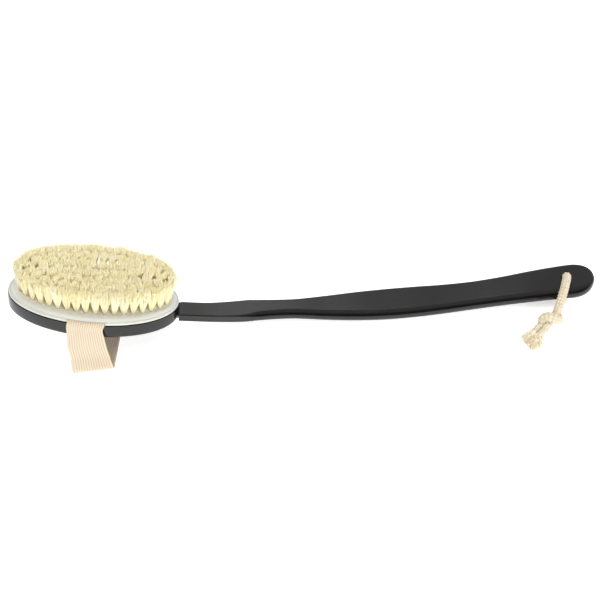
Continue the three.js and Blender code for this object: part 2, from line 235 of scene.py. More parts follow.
def grid_uv(v_rows, u_columns):
    """Corner UVs for grid_faces; for a wrapped grid, u_columns has one value more than the columns."""
    across = len(u_columns) - 1
    i, j = np.meshgrid(np.arange(len(v_rows) - 1), np.arange(across), indexing="ij")
    i, j = i.ravel(), j.ravel()
    u0, u1, v0, v1 = u_columns[j], u_columns[j + 1], v_rows[i], v_rows[i + 1]
    return np.stack([u0, v0, u1, v0, u1, v1, u0, v1], 1).reshape(-1, 2)


def end_caps(rows, sides):
    """The two end faces of a wrapped grid."""
    return [np.arange(sides)[::-1][None], (rows - 1) * sides + np.arange(sides)[None]]


def add_attribute(piece, name, values):
    """A number for each vertex, which a material reads."""
    attribute = piece.data.attributes.new(name, "FLOAT", "POINT")
    attribute.data.foreach_set("value", np.asarray(values, np.float32))


def strands(lines, radii, sides):
    """Thin closed tubes along many lines at once. lines is (strands, points, 3), radii the same
    without the last axis. Returns vertices and a list of faces."""
    n, m, _ = lines.shape
    tangent = unit(np.gradient(lines, axis=1))
    helper = unit(rng.normal(size=(n, 1, 3)))
    a = unit(np.cross(tangent, helper))
    b = np.cross(tangent, a)
    turn = np.arange(sides) * 2 * math.pi / sides
    ring = (a[:, :, None] * np.cos(turn)[:, None] + b[:, :, None] * np.sin(turn)[:, None])
    verts = lines[:, :, None] + ring * radii[:, :, None, None]
    base = np.arange(n)[:, None] * m * sides
    quads = (grid_faces(m, sides, wrap=True)[None] + base[:, :, None]).reshape(-1, 4)
    return verts.reshape(-1, 3), [quads, *(cap + base for cap in end_caps(m, sides))]


def boolean(piece, other, operation):
    """Cuts the other solid out of a piece or joins it on, and removes the other."""
    modifier = piece.modifiers.new("cut", "BOOLEAN")
    modifier.operation = operation
    modifier.solver = "EXACT"
    modifier.object = other
    graph = bpy.context.evaluated_depsgraph_get()
    mesh = bpy.data.meshes.new_from_object(piece.evaluated_get(graph))
    old = piece.data
    piece.modifiers.clear()
    piece.data = mesh
    bpy.data.meshes.remove(old)
    bpy.data.objects.remove(other)


def loft(name, rings):
    """A closed solid through rings of equal count, in the head's frame, capped at both ends."""
    rings = np.asarray(rings, float)
    count = rings.shape[1]
    quads = grid_faces(len(rings), count, wrap=True)
    return build(name, head_to_row(rings.reshape(-1, 3)), [quads, *end_caps(len(rings), count)])


def sharpen(piece, degrees):
    """Shades a piece smooth except over edges sharper than the angle."""
    piece.data.shade_smooth()
    piece.data.set_sharp_from_angle(angle=math.radians(degrees))


def prism(name, section, x0, x1):
    """A solid from x0 to x1 with a section of (y, z) points."""
    return loft(name, [[(x, y, z) for y, z in section] for x in (x0, x1)])


def finish_piece(piece, body, slot, *replaced):
    """Puts a piece on its body and in place of the CAD nodes it stands for. slot is not used."""
    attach(piece, body)
    if replaced:
        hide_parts(*replaced)
    return piece


# ------------------------------
# Hanging cord: two strands through the handle's hole, a knot they share and two frayed ends
# ------------------------------
CORD_R, KNOT_CORD_R, STUB_R = 3.15, 2.9, 2.75     # pulled tighter in the knot and past it
KNOT_FUZZ_R = 2.45
OVER_EDGE = [
    (347.9, 0, 10.8), (348.0, -0.4, 14.8), (348.1, -1.7, 16.9), (347.9, -4.2, 18.1), (347.3, -7.2, 18.4),
    (346.0, -11.4, 18.3), (344.3, -16.6, 17.4), (342.6, -20.8, 15.9), (340.7, -24.6, 13.4),
    (338.8, -28.0, 10.8), (337.0, -30.8, 8.8),
]
UNDER_EDGE = [
    (347.9, 0, 12.0), (347.8, -0.2, 6.6), (347.2, -3.0, 3.8), (345.2, -8, 3.3), (342.2, -14, 3.2),
    (339.6, -20.5, 3.2), (338.2, -25.0, 3.2), (338.0, -29.4, 3.3), (338.4, -32.0, 3.9),
]
BRAID_ENDS = 8          # strands each way round the cord
BRAID_PITCH = 19.0      # one turn of a strand
BRAID_STEP, BRAID_SIDES = 0.22, 64
BRAID_DEEPEST = -0.35   # how deep the gaps between strands go, against 1 for a strand's crown


def braided(name, line, radius, taper=None):
    """A braided cord along a line in the table's frame, as a mesh with its strands raised. taper
    gives the radius's factor for each share of the length."""
    length = line_length(line)
    rows = max(int(length / BRAID_STEP), 12)
    line = resample(line, rows)
    a, b = frames_along(line)
    turn = np.arange(BRAID_SIDES) * 2 * math.pi / BRAID_SIDES
    along = np.linspace(0, length, rows)
    twist = 2 * math.pi * along / BRAID_PITCH
    half = BRAID_ENDS / 2
    left = np.cos(half * (turn[None] + twist[:, None]))
    right = np.cos(half * (turn[None] - twist[:, None]))
    over = np.maximum(left * right, BRAID_DEEPEST)
    soft = np.sin(3.1 * turn[None] + 0.9 * along[:, None]) * np.sin(0.53 * along[:, None] + 1.3)
    size = np.full(rows, float(radius)) if taper is None else radius * taper(along / length)
    r = size[:, None] * (0.94 + 0.105 * over + 0.014 * soft)
    ring = (
        a[:, None] * (np.cos(turn)[None] * r)[..., None]
        + b[:, None] * (np.sin(turn)[None] * r)[..., None]
    )
    verts = (line[:, None] + ring).reshape(-1, 3)
    quads = grid_faces(rows, BRAID_SIDES, wrap=True)
    uv = grid_uv(along, np.arange(BRAID_SIDES + 1) * 2 * math.pi * radius / BRAID_SIDES)
    uv = np.vstack([uv, np.zeros((2 * BRAID_SIDES, 2))])
    piece = build(name, table_to_row(verts), [quads, *end_caps(rows, BRAID_SIDES)], uv)
    # tone is 1 on the strands' crowns and 0 in the gaps between them; the cord's colour uses it to paint
    # shade into the gaps
    add_attribute(piece, "tone", (0.5 + 0.5 * over).ravel())
    return piece, line


FIBRE_POINTS, FIBRE_SIDES = 5, 3


def fuzz(name, line, radius, count, reach, seed):
    """Loose cotton fibres that stand off a cord."""
    r = np.random.default_rng(seed)
    a, b = frames_along(line)
    at = r.integers(2, len(line) - 2, count)
    turn = r.uniform(0, 2 * math.pi, count)
    out = a[at] * np.cos(turn)[:, None] + b[at] * np.sin(turn)[:, None]
    side = unit(r.normal(size=(count, 3)))
    steps = np.linspace(0, 1, FIBRE_POINTS)
    long = reach * r.uniform(0.4, 1.0, count)
    bend = r.uniform(0.3, 1.2, count)
    root = line[at] + out * radius * 0.9
    lines = (
        root[:, None]
        + out[:, None] * (long[:, None] * np.sin(steps * 1.2))[..., None] * 0.55
        + side[:, None] * (long[:, None] * bend[:, None] * steps ** 1.6)[..., None] * 0.7
    )
    lines[..., 2] = np.maximum(lines[..., 2], 0.08)     # not into the table
    radii = np.linspace(0.055, 0.025, FIBRE_POINTS)[None] * r.uniform(0.7, 1.2, (count, 1))
    verts, faces = strands(lines, radii, FIBRE_SIDES)
    return build(name, table_to_row(verts), faces)


over_piece, over_line = braided(
    "cord_strand_over_edge", smooth_line(OVER_EDGE, 400), CORD_R,
    taper=lambda t: 1 - 0.14 * np.exp(-(t / 0.12) ** 2))
under_piece, under_line = braided("cord_strand_under_edge", smooth_line(UNDER_EDGE, 400), CORD_R)

# The knot: the upper strand goes straight through it, the lower one turns round the upper one
KNOT_CORE = [
    (337.2, -30.4, 9.1), (335.2, -32.2, 7.2), (332.8, -34.4, 4.8), (330.0, -36.8, 3.3), (327.6, -39.6, 2.9),
    (325.8, -42.6, 2.8),
]
KNOT_WRAP = [
    (338.0, -28.6, 3.3), (338.5, -31.6, 3.8), (337.9, -34.8, 5.2), (335.4, -36.3, 7.4), (332.2, -36.0, 8.9),
    (328.9, -35.0, 8.8), (326.6, -34.9, 7.2), (325.6, -34.9, 5.0), (327.0, -32.8, 3.2), (329.2, -32.6, 2.8),
    (327.8, -34.8, 2.8), (324.8, -37.4, 2.8), (322.0, -40.0, 2.7),
]
core_piece, _ = braided("knot_core", smooth_line(KNOT_CORE, 300), KNOT_CORD_R)
wrap_piece, wrap_line = braided(
    "knot_wrap", smooth_line(KNOT_WRAP, 400), KNOT_CORD_R,
    taper=lambda t: 1 + 0.3 * np.exp(-((t - 0.37) / 0.2) ** 2))


YARNS, YARN_POINTS, YARN_SIDES = 420, 9, 4
STRAY_YARNS = 0.07      # the share of yarns that lie thin and loose outside the bunch


def tail(name, stub, spread, ends, seed):
    """A frayed end: a short stub of cord that opens into loose yarns lying on the table. The yarns
    reach out by ends and fan out to the sides by about spread."""
    r = np.random.default_rng(seed)
    cord_piece, line = braided(
        name + "_stub", smooth_line(stub, 60), STUB_R, taper=lambda t: 1 - 0.5 * np.clip(t - 0.6, 0, 1))
    start = line[int(len(line) * 0.66)]
    way = unit((line[-1] - line[len(line) // 2]) * (1, 1, 0))
    across = np.array([-way[1], way[0], 0])
    steps = np.linspace(0, 1, YARN_POINTS)
    fan = r.normal(0, 0.5, YARNS).clip(-1.25, 1.25)
    lift = r.uniform(0, 1, YARNS)
    reach = ends * r.uniform(0.55, 1.0, YARNS) * (1 - 0.16 * np.abs(fan)) + r.normal(0, 0.5, YARNS)
    stray = r.uniform(0, 1, YARNS) > 1 - STRAY_YARNS
    reach = np.where(stray, reach * 1.15, reach)
    fan = np.where(stray, fan * 1.7, fan)
    root_side = fan * 2.1 + r.normal(0, 0.3, YARNS)
    root_up = (lift - 0.5) * 4.6 * np.sqrt(np.clip(1 - (fan / 1.3) ** 2, 0.05, 1))
    side_end = fan * spread + r.normal(0, 0.7, YARNS)
    wave = r.normal(0, 1.1, (YARNS, 1)) * np.sin(steps[None] * r.uniform(2, 9, (YARNS, 1)))
    x = reach[:, None] * steps[None]
    y = root_side[:, None] + (side_end - root_side)[:, None] * steps[None] ** 1.25 + wave
    arch = 0.9 * np.sin(math.pi * steps)[None] * lift[:, None]
    z = (start[2] + root_up)[:, None] * (1 - 0.62 * steps[None]) + arch
    z = z + r.normal(0, 0.5, (YARNS, 1)) * steps[None] * np.cos(steps[None] * r.uniform(0, 5, (YARNS, 1)))
    lines = (
        np.array([start[0], start[1], 0]) + way * x[..., None] + across * y[..., None]
        + np.array([0, 0, 1]) * np.maximum(z, 0.18)[..., None]
    )
    radii = np.linspace(0.26, 0.12, YARN_POINTS)[None] * r.uniform(0.5, 1.2, (YARNS, 1))
    radii = np.where(stray[:, None], radii * 0.45, radii)
    verts, faces = strands(lines, radii, YARN_SIDES)
    yarns = build(name + "_yarns", table_to_row(verts), faces)
    add_attribute(yarns, "tone", np.repeat(r.uniform(0, 1, YARNS), YARN_POINTS * YARN_SIDES))
    return cord_piece, yarns


left_stub, left_yarns = tail(
    "tail_left", [(325.2, -36.6, 2.8), (322.0, -40.2, 2.8), (318.9, -43.6, 2.9), (316.0, -47.2, 2.9)],
    spread=5.2, ends=11.5, seed=5)
right_stub, right_yarns = tail(
    "tail_right", [(328.6, -38.6, 3.0), (325.8, -42.6, 2.8), (322.8, -46.8, 2.9), (320.0, -51.6, 2.9)],
    spread=4.3, ends=15.0, seed=9)

fuzz_over = fuzz("cord_fuzz_over", over_line, CORD_R, 420, 1.3, 31)
fuzz_wrap = fuzz("knot_fuzz", wrap_line, KNOT_FUZZ_R, 380, 1.6, 32)
fuzz_under = fuzz("cord_fuzz_under", under_line, CORD_R, 240, 1.4, 33)

for piece, *replaced in (
    (over_piece, "cord_over_edge"), (under_piece, "cord_under_edge"), (wrap_piece, "cord_knot"),
    (core_piece,), (left_yarns, "cord_tail_left"), (right_yarns, "cord_tail_right"),
    (left_stub,), (right_stub,), (fuzz_over,), (fuzz_wrap,), (fuzz_under,),
):
    finish_piece(piece, "handle", "cord_cotton", *replaced)

# ------------------------------
# Head board
# ------------------------------
BOARD_A, BOARD_B, BOARD_THICKNESS = 63.7, 34.2, 12
OVAL_X = -0.7           # the oval's middle lies a little away from the handle
OVAL_SIDES = 240


def oval(a, b, z):
    t = np.arange(OVAL_SIDES) * 2 * math.pi / OVAL_SIDES
    return np.stack([OVAL_X + a * np.cos(t), b * np.sin(t), np.full(OVAL_SIDES, z)], 1)


def oval_stack(name, a, b, levels):
    """An oval solid through levels of (height, how far the outline is inset there)."""
    return loft(name, [oval(a - inset, b - inset, z) for z, inset in levels])


def rounded(z0, z1, inset0, inset1, steps, convex_up):
    """Levels of a quarter round from (z0, inset0) to (z1, inset1)."""
    out = []
    for i in range(steps + 1):
        t = math.pi / 2 * i / steps
        if convex_up:
            out.append((z0 + (z1 - z0) * math.sin(t), inset0 + (inset1 - inset0) * (1 - math.cos(t))))
        else:
            out.append((z0 + (z1 - z0) * (1 - math.cos(t)), inset0 + (inset1 - inset0) * math.sin(t)))
    return out


GAP = 0.25              # the clearance between parts that fit together
LOWER_ROUND, UPPER_ROUND = 2.6, 0.45
STRAP_LEFT, STRAP_RIGHT = -15.8, 11.5
CHANNEL_TOP, CHANNEL_REACH = 2.0, 18.6      # the strap's channels under the plate
# The handle's dovetail tongue: heights, half widths, and where it ends and leaves the handle
TONGUE_TOP, TONGUE_BOTTOM, TONGUE_UPPER, TONGUE_LOWER = -6.0, -9.8, 7.7, 5.7
TONGUE_END, SHOULDER = 16.6, 63.7


def dovetail(clearance, floor):
    """The tongue's section with a clearance round it, continued down to the floor height."""
    slope = (TONGUE_UPPER - TONGUE_LOWER) / (TONGUE_TOP - TONGUE_BOTTOM)
    top = TONGUE_TOP + clearance
    upper = TONGUE_UPPER + clearance
    lower = TONGUE_LOWER + clearance + slope * (floor - TONGUE_BOTTOM)
    return [(-lower, floor), (lower, floor), (upper, top), (-upper, top)]


levels = rounded(-BOARD_THICKNESS, -BOARD_THICKNESS + LOWER_ROUND, LOWER_ROUND, 0, 8, False)
levels += rounded(-UPPER_ROUND, 0, 0, UPPER_ROUND, 4, True)
board = oval_stack("head_board_lacquered", BOARD_A, BOARD_B, levels)
groove = prism("groove", dovetail(GAP, -BOARD_THICKNESS - 1), TONGUE_END - GAP, BOARD_A + 5)
boolean(board, groove, "DIFFERENCE")
sharpen(board, degrees=32)
finish_piece(board, "head", "lacquered_wood", "head_board")

# ------------------------------
# Bristle plate
# ------------------------------
PLATE_A, PLATE_B, PLATE_TOP = 63.3, 33.8, 3.5
edge_levels = [(GAP, 0.25), (GAP + 0.15, 0.05), (GAP + 0.35, 0), (1.35, 0), (1.6, 0.04)]
rim_levels = [(1.85, 0.2), (1.98, 0.48), (2.05, 0.9)]
step_levels = [(1.8, 1.15), (1.8, 1.5), (2.4, 1.75), (3.0, 3.0), (3.3, 3.7), (3.42, 4.1)]
plate_levels = edge_levels + rim_levels + step_levels + [(PLATE_TOP, 4.8), (PLATE_TOP, 6.0)]
plate = oval_stack("bristle_plate_moulded", PLATE_A, PLATE_B, plate_levels)
for side in (-1, 1):
    y0, y1 = sorted((side * CHANNEL_REACH, side * (BOARD_B + 2)))
    box = [(y0, -1), (y1, -1), (y1, CHANNEL_TOP), (y0, CHANNEL_TOP)]
    boolean(plate, prism("channel", box, STRAP_LEFT - GAP, STRAP_RIGHT + GAP), "DIFFERENCE")
sharpen(plate, degrees=50)
finish_piece(plate, "head", "white_plate", "bristle_plate")

# ------------------------------
# Bristles: every tuft is a bundle of separate bristles, tight at the root and spread at the tips
# ------------------------------
# Rows of tufts on ovals of half axes a and b. tip is the tips' height, lean how far the tufts lean
# out in x and y, and spread how far the tips reach along the row, outwards and inwards.
TUFT_ROWS = [
    dict(a=56.0, b=24.4, tufts=38, tip=25.3, lean=(1.7, 3.2), spread=(5.6, 2.9, 5.4)),
    dict(a=47.8, b=16.8, tufts=31, tip=24.3, lean=(1.2, 2.0), spread=(4.4, 5.2, 5.2)),
    dict(a=39.8, b=9.2, tufts=24, tip=24.1, lean=(0.7, 1.0), spread=(4.4, 5.2, 5.2)),
]
MIDDLE = dict(reach=27, tufts=9, tip=23.6, lean=(0, 0), spread=(4.4, 5.2, 5.2))
BRISTLES = 236          # in a tuft
ROOT_R = 0.95
ROOT_DEPTH = 0.3        # how deep the bristles stand in the plate
CLUMPS = 5              # a tuft's tips draw together in this many clumps
CLUMP_RISE = 0.34       # how much the clumps differ in height
BRISTLE_SHARES = np.array([0.0, 0.3, 0.62, 1.0])        # the places along a bristle
BRISTLE_RADII = np.array([0.17, 0.19, 0.19, 0.13])
BRISTLE_SIDES = 3
OVAL_SAMPLES = 1441


def even_oval(a, b, count, phase):
    """Places along an oval, evenly by length, with the outward direction at each."""
    t = np.linspace(0, 2 * math.pi, OVAL_SAMPLES)
    so_far = length_so_far(np.stack([a * np.cos(t), b * np.sin(t)], 1))
    want = (np.arange(count) + phase) / count * so_far[-1]
    angle = np.interp(want, so_far, t)
    place = np.stack([a * np.cos(angle), b * np.sin(angle)], 1)
    out = unit(np.stack([b * np.cos(angle), a * np.sin(angle)], 1))
    return place, out


def tufts(name, places, outs, row, seed):
    """All the bristles of a row. Arrays run over tufts, then bristles, then points of a bristle;
    their x and y are shares of the row's direction and of outwards until fan turns them."""
    r = np.random.default_rng(seed)
    count = len(places)
    steps = BRISTLE_SHARES
    reach = row["spread"]
    turn = r.uniform(0, 2 * math.pi, (count, BRISTLES))
    spread = r.uniform(0, 1, (count, BRISTLES)) ** 0.6
    disc = np.stack([np.cos(turn), np.sin(turn)], -1) * spread[..., None]
    low = disc * ROOT_R
    along = np.stack([-outs[:, 1], outs[:, 0]], 1)

    def fan(shares):
        across = np.where(shares[..., 1:] > 0, reach[1], reach[2]) * shares[..., 1:]
        return along[:, None] * shares[..., :1] * reach[0] + outs[:, None] * across

    high = fan(disc * r.uniform(0.92, 1.08, (count, 1, 1)))
    centres = fan(r.uniform(-0.75, 0.75, (count, CLUMPS, 2)))
    nearest = np.argmin(np.linalg.norm(high[:, :, None] - centres[:, None], axis=-1), axis=2)
    own = np.take_along_axis(centres, nearest[..., None], axis=1)
    high = high + (own - high) * r.uniform(0.0, 0.36, (count, BRISTLES, 1)) + r.normal(0, 0.22, high.shape)
    leaning = outs * (np.array(row["lean"]) + r.normal(0, 0.35, (count, 1)))
    high += leaning[:, None] + r.normal(0, 0.35, (count, 1, 2))
    rise = np.take_along_axis(r.normal(0, CLUMP_RISE, (count, CLUMPS)), nearest, axis=1)
    tips = row["tip"] + r.normal(0, 0.16, (count, 1)) + r.normal(0, 0.34, (count, BRISTLES))
    tips = tips + rise - 0.5 * spread ** 3
    z0 = PLATE_TOP - ROOT_DEPTH
    flare = steps ** 0.94
    xy = (
        places[:, None, None]
        + low[:, :, None] * (1 - flare)[:, None]
        + high[:, :, None] * flare[:, None]
    )
    xy = xy + r.normal(0, 0.14, (count, BRISTLES, 1, 2)) * np.sin(math.pi * steps)[:, None]
    z = z0 + (tips - z0)[..., None] * steps
    lines = np.concatenate([xy, z[..., None]], -1).reshape(-1, len(steps), 3)
    radii = BRISTLE_RADII[None] * r.uniform(0.8, 1.15, (len(lines), 1))
    verts, faces = strands(lines, radii, BRISTLE_SIDES)
    piece = build(name, head_to_row(verts), faces)
    tone = 0.5 + 0.08 * r.normal(size=(count, 1)) + 0.2 * r.normal(size=(count, BRISTLES))
    # painted light: clumps that stand higher are made lighter in colour, as if they catch more light
    tone = tone + 0.09 * rise / CLUMP_RISE
    per_vertex = np.repeat(tone.reshape(-1), len(steps) * BRISTLE_SIDES).clip(0, 1)
    add_attribute(piece, "tone", per_vertex)
    add_attribute(piece, "rise", np.tile(np.repeat(steps, BRISTLE_SIDES), len(lines)))
    return piece


bristle_pieces = []
for i, row in enumerate(TUFT_ROWS):
    places, outs = even_oval(row["a"], row["b"], row["tufts"], phase=0.25 * i)
    piece = tufts(f"bristle_tufts_{i + 1}", places, outs, row, 100 + i)
    bristle_pieces.append(finish_piece(piece, "head", "bristle", f"bristle_row_{i + 1}"))
middle_x = np.linspace(-MIDDLE["reach"], MIDDLE["reach"], MIDDLE["tufts"])
places = np.stack([middle_x, np.zeros_like(middle_x)], 1)
outs = np.tile((0.0, 1.0), (MIDDLE["tufts"], 1))
piece = tufts("bristle_tufts_middle", places, outs, MIDDLE, 140)
bristle_pieces.append(finish_piece(piece, "head", "bristle", "bristle_row_middle"))

# ------------------------------
# Handle
# ------------------------------
# Stations along the handle: x, width, height of the top, thickness, corner radius, and how far
# each side leans in towards the bottom
HANDLE = np.array([
    (63.7, 15.6, -4.9, 7.3, 0.8, 1),
    (85, 15.8, -3.3, 7.3, 0.8, 1),
    (103, 17.6, -0.4, 7.4, 0.8, 1),
    (114, 19.2, 2.2, 7.8, 1.9, 0.6),
    (122, 19.4, 4.3, 8.4, 3.8, 0.1),
    (134, 18.3, 6.6, 8.6, 4.2, 0),
    (150, 18.3, 9.4, 8.7, 4.3, 0),
    (172, 23.2, 13.2, 8.9, 4.4, 0),
    (194, 27.9, 17.6, 9.1, 4.5, 0),
    (216, 30.5, 22.2, 9.1, 4.5, 0),
    (237, 30.5, 27.1, 9.1, 4.5, 0),
    (258, 28.8, 32.4, 9.1, 4.5, 0),
    (279, 27.5, 38.5, 9.1, 4.5, 0),
    (300, 28.4, 45.4, 9.1, 4.5, 0),
    (321, 30.9, 52.6, 9.1, 4.5, 0),
    (343, 33.1, 59.4, 9.1, 4.5, 0),
    (366, 34.3, 65.5, 9.1, 4.5, 0),
])
WIDTH, TOP, THICKNESS, CORNER, LEAN = range(1, 6)
HANDLE_TIP, TIP_ROUND = 364.1, 17
TIP_LAST = 0.9985       # the share of the tip's rounding where the last, narrow section lies
BODY_SECTIONS, TIP_SECTIONS, CORNER_STEPS = 190, 22, 9
HOLE_X, HOLE_R, HOLE_FLARE = 344.6, 3.35, 1.3
HOLE_SIDES = 48


def handle_value(column, x):
    """A column of the stations at x, by a cubic through the stations."""
    xs, vs = HANDLE[:, 0], HANDLE[:, column]
    i = int(np.clip(np.searchsorted(xs, x, side="right") - 1, 0, len(xs) - 2))

    def slope(k):
        before, after = max(k - 1, 0), min(k + 1, len(xs) - 1)
        return (vs[after] - vs[before]) / (xs[after] - xs[before])

    h = xs[i + 1] - xs[i]
    s = min(max((x - xs[i]) / h, 0), 1)
    start = (2 * s ** 3 - 3 * s ** 2 + 1) * vs[i]
    end = (3 * s ** 2 - 2 * s ** 3) * vs[i + 1]
    return start + end + h * ((s ** 3 - 2 * s ** 2 + s) * slope(i) + (s ** 3 - s ** 2) * slope(i + 1))


def handle_section(x):
    """The handle's outline at x: four rounded corners and a few points on the flats between them,
    which let the flats shade flat."""
    past = min(max((x - (HANDLE_TIP - TIP_ROUND)) / TIP_ROUND, 0), TIP_LAST)
    width = handle_value(WIDTH, x) * math.sqrt(1 - past ** 2.2)
    thickness = handle_value(THICKNESS, x) * (1 - 0.55 * past ** 9)
    top = handle_value(TOP, x) - (handle_value(THICKNESS, x) - thickness) / 2
    radius = min(handle_value(CORNER, x), width / 2 - 0.05, thickness / 2 - 0.05)
    arcs = []
    corners = ((-1, -1, math.pi), (1, -1, 1.5 * math.pi), (1, 1, 0), (-1, 1, 0.5 * math.pi))
    for sy, sz, start in corners:
        lean = handle_value(LEAN, x) if sz < 0 else 0
        y = sy * (width / 2 - lean - radius)
        z = top - thickness / 2 + sz * (thickness / 2 - radius)
        angles = [start + math.pi / 2 * k / CORNER_STEPS for k in range(CORNER_STEPS + 1)]
        arcs.append([(x, y + radius * math.cos(t), z + radius * math.sin(t)) for t in angles])
    out = []
    for arc, following in zip(arcs, arcs[1:] + arcs[:1]):
        out += arc
        p, q = np.array(arc[-1]), np.array(following[0])
        out += [tuple(p + (q - p) * s) for s in (0.06, 0.35, 0.65, 0.94)]
    return out


straight = HANDLE_TIP - TIP_ROUND
stations = list(np.linspace(SHOULDER, straight, BODY_SECTIONS))
for i in range(1, TIP_SECTIONS + 1):
    stations.append(straight + TIP_ROUND * math.sin(math.pi / 2 * i / TIP_SECTIONS))
grip = loft("handle_lacquered", [handle_section(x) for x in stations])
boolean(grip, prism("tongue", dovetail(0, TONGUE_BOTTOM), TONGUE_END, SHOULDER + 2), "UNION")


def hole_core():
    """The cord hole as a solid: a round bore with flared ends, upright when the brush lies."""
    half = handle_value(THICKNESS, HOLE_X) / 2
    flare = [
        (HOLE_R + HOLE_FLARE * (1 - math.cos(t)), half - HOLE_FLARE * 1.2 * (1 - math.sin(t)))
        for t in np.linspace(0, math.pi / 2, 8)
    ]
    upper = flare + [(HOLE_R + HOLE_FLARE + 6, half + 6)]
    profile = [(r, -z) for r, z in reversed(upper)] + upper
    turn = np.arange(HOLE_SIDES) * 2 * math.pi / HOLE_SIDES
    rings = np.asarray([
        np.stack([r * np.cos(turn), r * np.sin(turn), np.full(HOLE_SIDES, z)], 1) for r, z in profile
    ])
    c, s = math.cos(-TILT), math.sin(-TILT)
    x = rings[..., 0] * c + rings[..., 2] * s + HOLE_X
    z = -rings[..., 0] * s + rings[..., 2] * c + handle_value(TOP, HOLE_X) - half
    return loft("hole", np.stack([x, rings[..., 1], z], -1))


boolean(grip, hole_core(), "DIFFERENCE")
sharpen(grip, degrees=32)
finish_piece(grip, "handle", "lacquered_wood", "handle")

# ------------------------------
# Hand strap: ribbed cotton webbing
# ------------------------------
STRAP_THICKNESS, STRAP_MID, STRAP_REACH = 1.5, 1.0, 19.4    # mid height and inner ends on the board
WEBBING_WIDTH = 27.0
RIBS = 16
PICK = 1.6              # the weave's repeat along the webbing
# The two edges of the loop: x under the plate, how far the fold at the board's edge slips along x,
# the points down its front, and where it lies on the table at the front and the rear
STRAP_LEFT_EDGE = dict(
    x=STRAP_LEFT, nip=-0.2, down=[(-17.2, -37.2, 32), (-18.5, -38.9, 23.5), (-18.9, -40.4, 12.5)],
    front=(-19.4, -43.2), rear=(-16.4, 5))
STRAP_RIGHT_EDGE = dict(
    x=STRAP_RIGHT, nip=-1.1, down=[(9.5, -36.9, 29), (9.5, -38.2, 21), (10.2, -39.4, 11)],
    front=(11.3, -41.8), rear=(11.7, 6))


def strap_edge(x, nip, down, front, rear):
    """An edge of the strap, from under the plate at the front round to under it at the rear."""
    def bend(side, shift):
        return [
            tilted(x, side * STRAP_REACH, STRAP_MID),
            tilted(x, side * 27, STRAP_MID),
            tilted(x, side * (BOARD_B - 1.0), STRAP_MID),
            tilted(x, side * (BOARD_B + 0.4), STRAP_MID - 0.25),
            tilted(x + shift * 0.6, side * (BOARD_B + 1.3), STRAP_MID - 1.4),
            tilted(x + shift, side * (BOARD_B + 1.6), STRAP_MID - 4),
        ]

    (front_x, front_y), (rear_x, rear_y) = front, rear
    return [
        *bend(-1, nip), *down,
        (front_x, front_y - 0.3, 5), (front_x, front_y + 0.5, 2.1), (front_x, front_y + 2.4, 0.95),
        (front_x, front_y + 6.0, 0.78), ((front_x + rear_x) / 2, -14, 0.76),
        (rear_x, rear_y - 4, 0.76), (rear_x + 0.2, rear_y + 1, 1.0), (rear_x + 0.6, rear_y + 8, 3.4),
        (rear_x + 1.2, 26, 14), tilted(x, BOARD_B + 2.1, -14.5),
        *bend(1, 0)[::-1],
    ]


def hand_strap():
    """The webbing as a closed ribbed mesh, and its length."""
    rows, per_rib = 300, 8
    left = smooth_line(strap_edge(**STRAP_LEFT_EDGE), rows, even=False)
    right = smooth_line(strap_edge(**STRAP_RIGHT_EDGE), rows, even=False)
    so_far = length_so_far((left + right) / 2)
    want = np.linspace(0, so_far[-1], rows)
    left, right = (at_lengths(edge, so_far, want) for edge in (left, right))
    columns = RIBS * per_rib + 1
    u = np.linspace(0, 1, columns)
    base = left[:, None] * (1 - u)[None, :, None] + right[:, None] * u[None, :, None]
    tangent = unit(np.gradient((left + right) / 2, axis=0))
    normal = unit(np.cross(tangent, right - left))
    rib = 0.5 - 0.5 * np.cos(2 * math.pi * u * RIBS)
    edge = 1 - np.clip(np.minimum(u, 1 - u) * WEBBING_WIDTH / 0.55, 0, 1)
    half = STRAP_THICKNESS / 2 * (0.78 + 0.22 * rib ** 0.6 - 0.4 * edge ** 2)
    every_other = np.where((np.floor(u * RIBS).astype(int) % 2) == 0, 1, -1)
    pick = 0.05 * np.sin(2 * math.pi * want / PICK)[:, None] * every_other[None]
    outer = base - normal[:, None] * (half[None, :, None] + pick[..., None])
    inner = base + normal[:, None] * (half[None, :, None] + pick[..., None])
    ring = np.concatenate([outer, inner[:, ::-1]], 1)
    around = ring.shape[1]
    faces = [grid_faces(rows, around, wrap=True), *end_caps(rows, around)]
    uv = grid_uv(want, np.concatenate([u, u[::-1], [0]]) * WEBBING_WIDTH)
    uv = np.vstack([uv, np.zeros((2 * around, 2))])
    points = table_to_row(ring.reshape(-1, 3))
    piece = build("hand_strap_webbing", points, [part[:, ::-1] for part in faces], uv)
    return piece, float(want[-1])


strap, strap_length = hand_strap()
finish_piece(strap, "head", "webbing", "hand_strap")


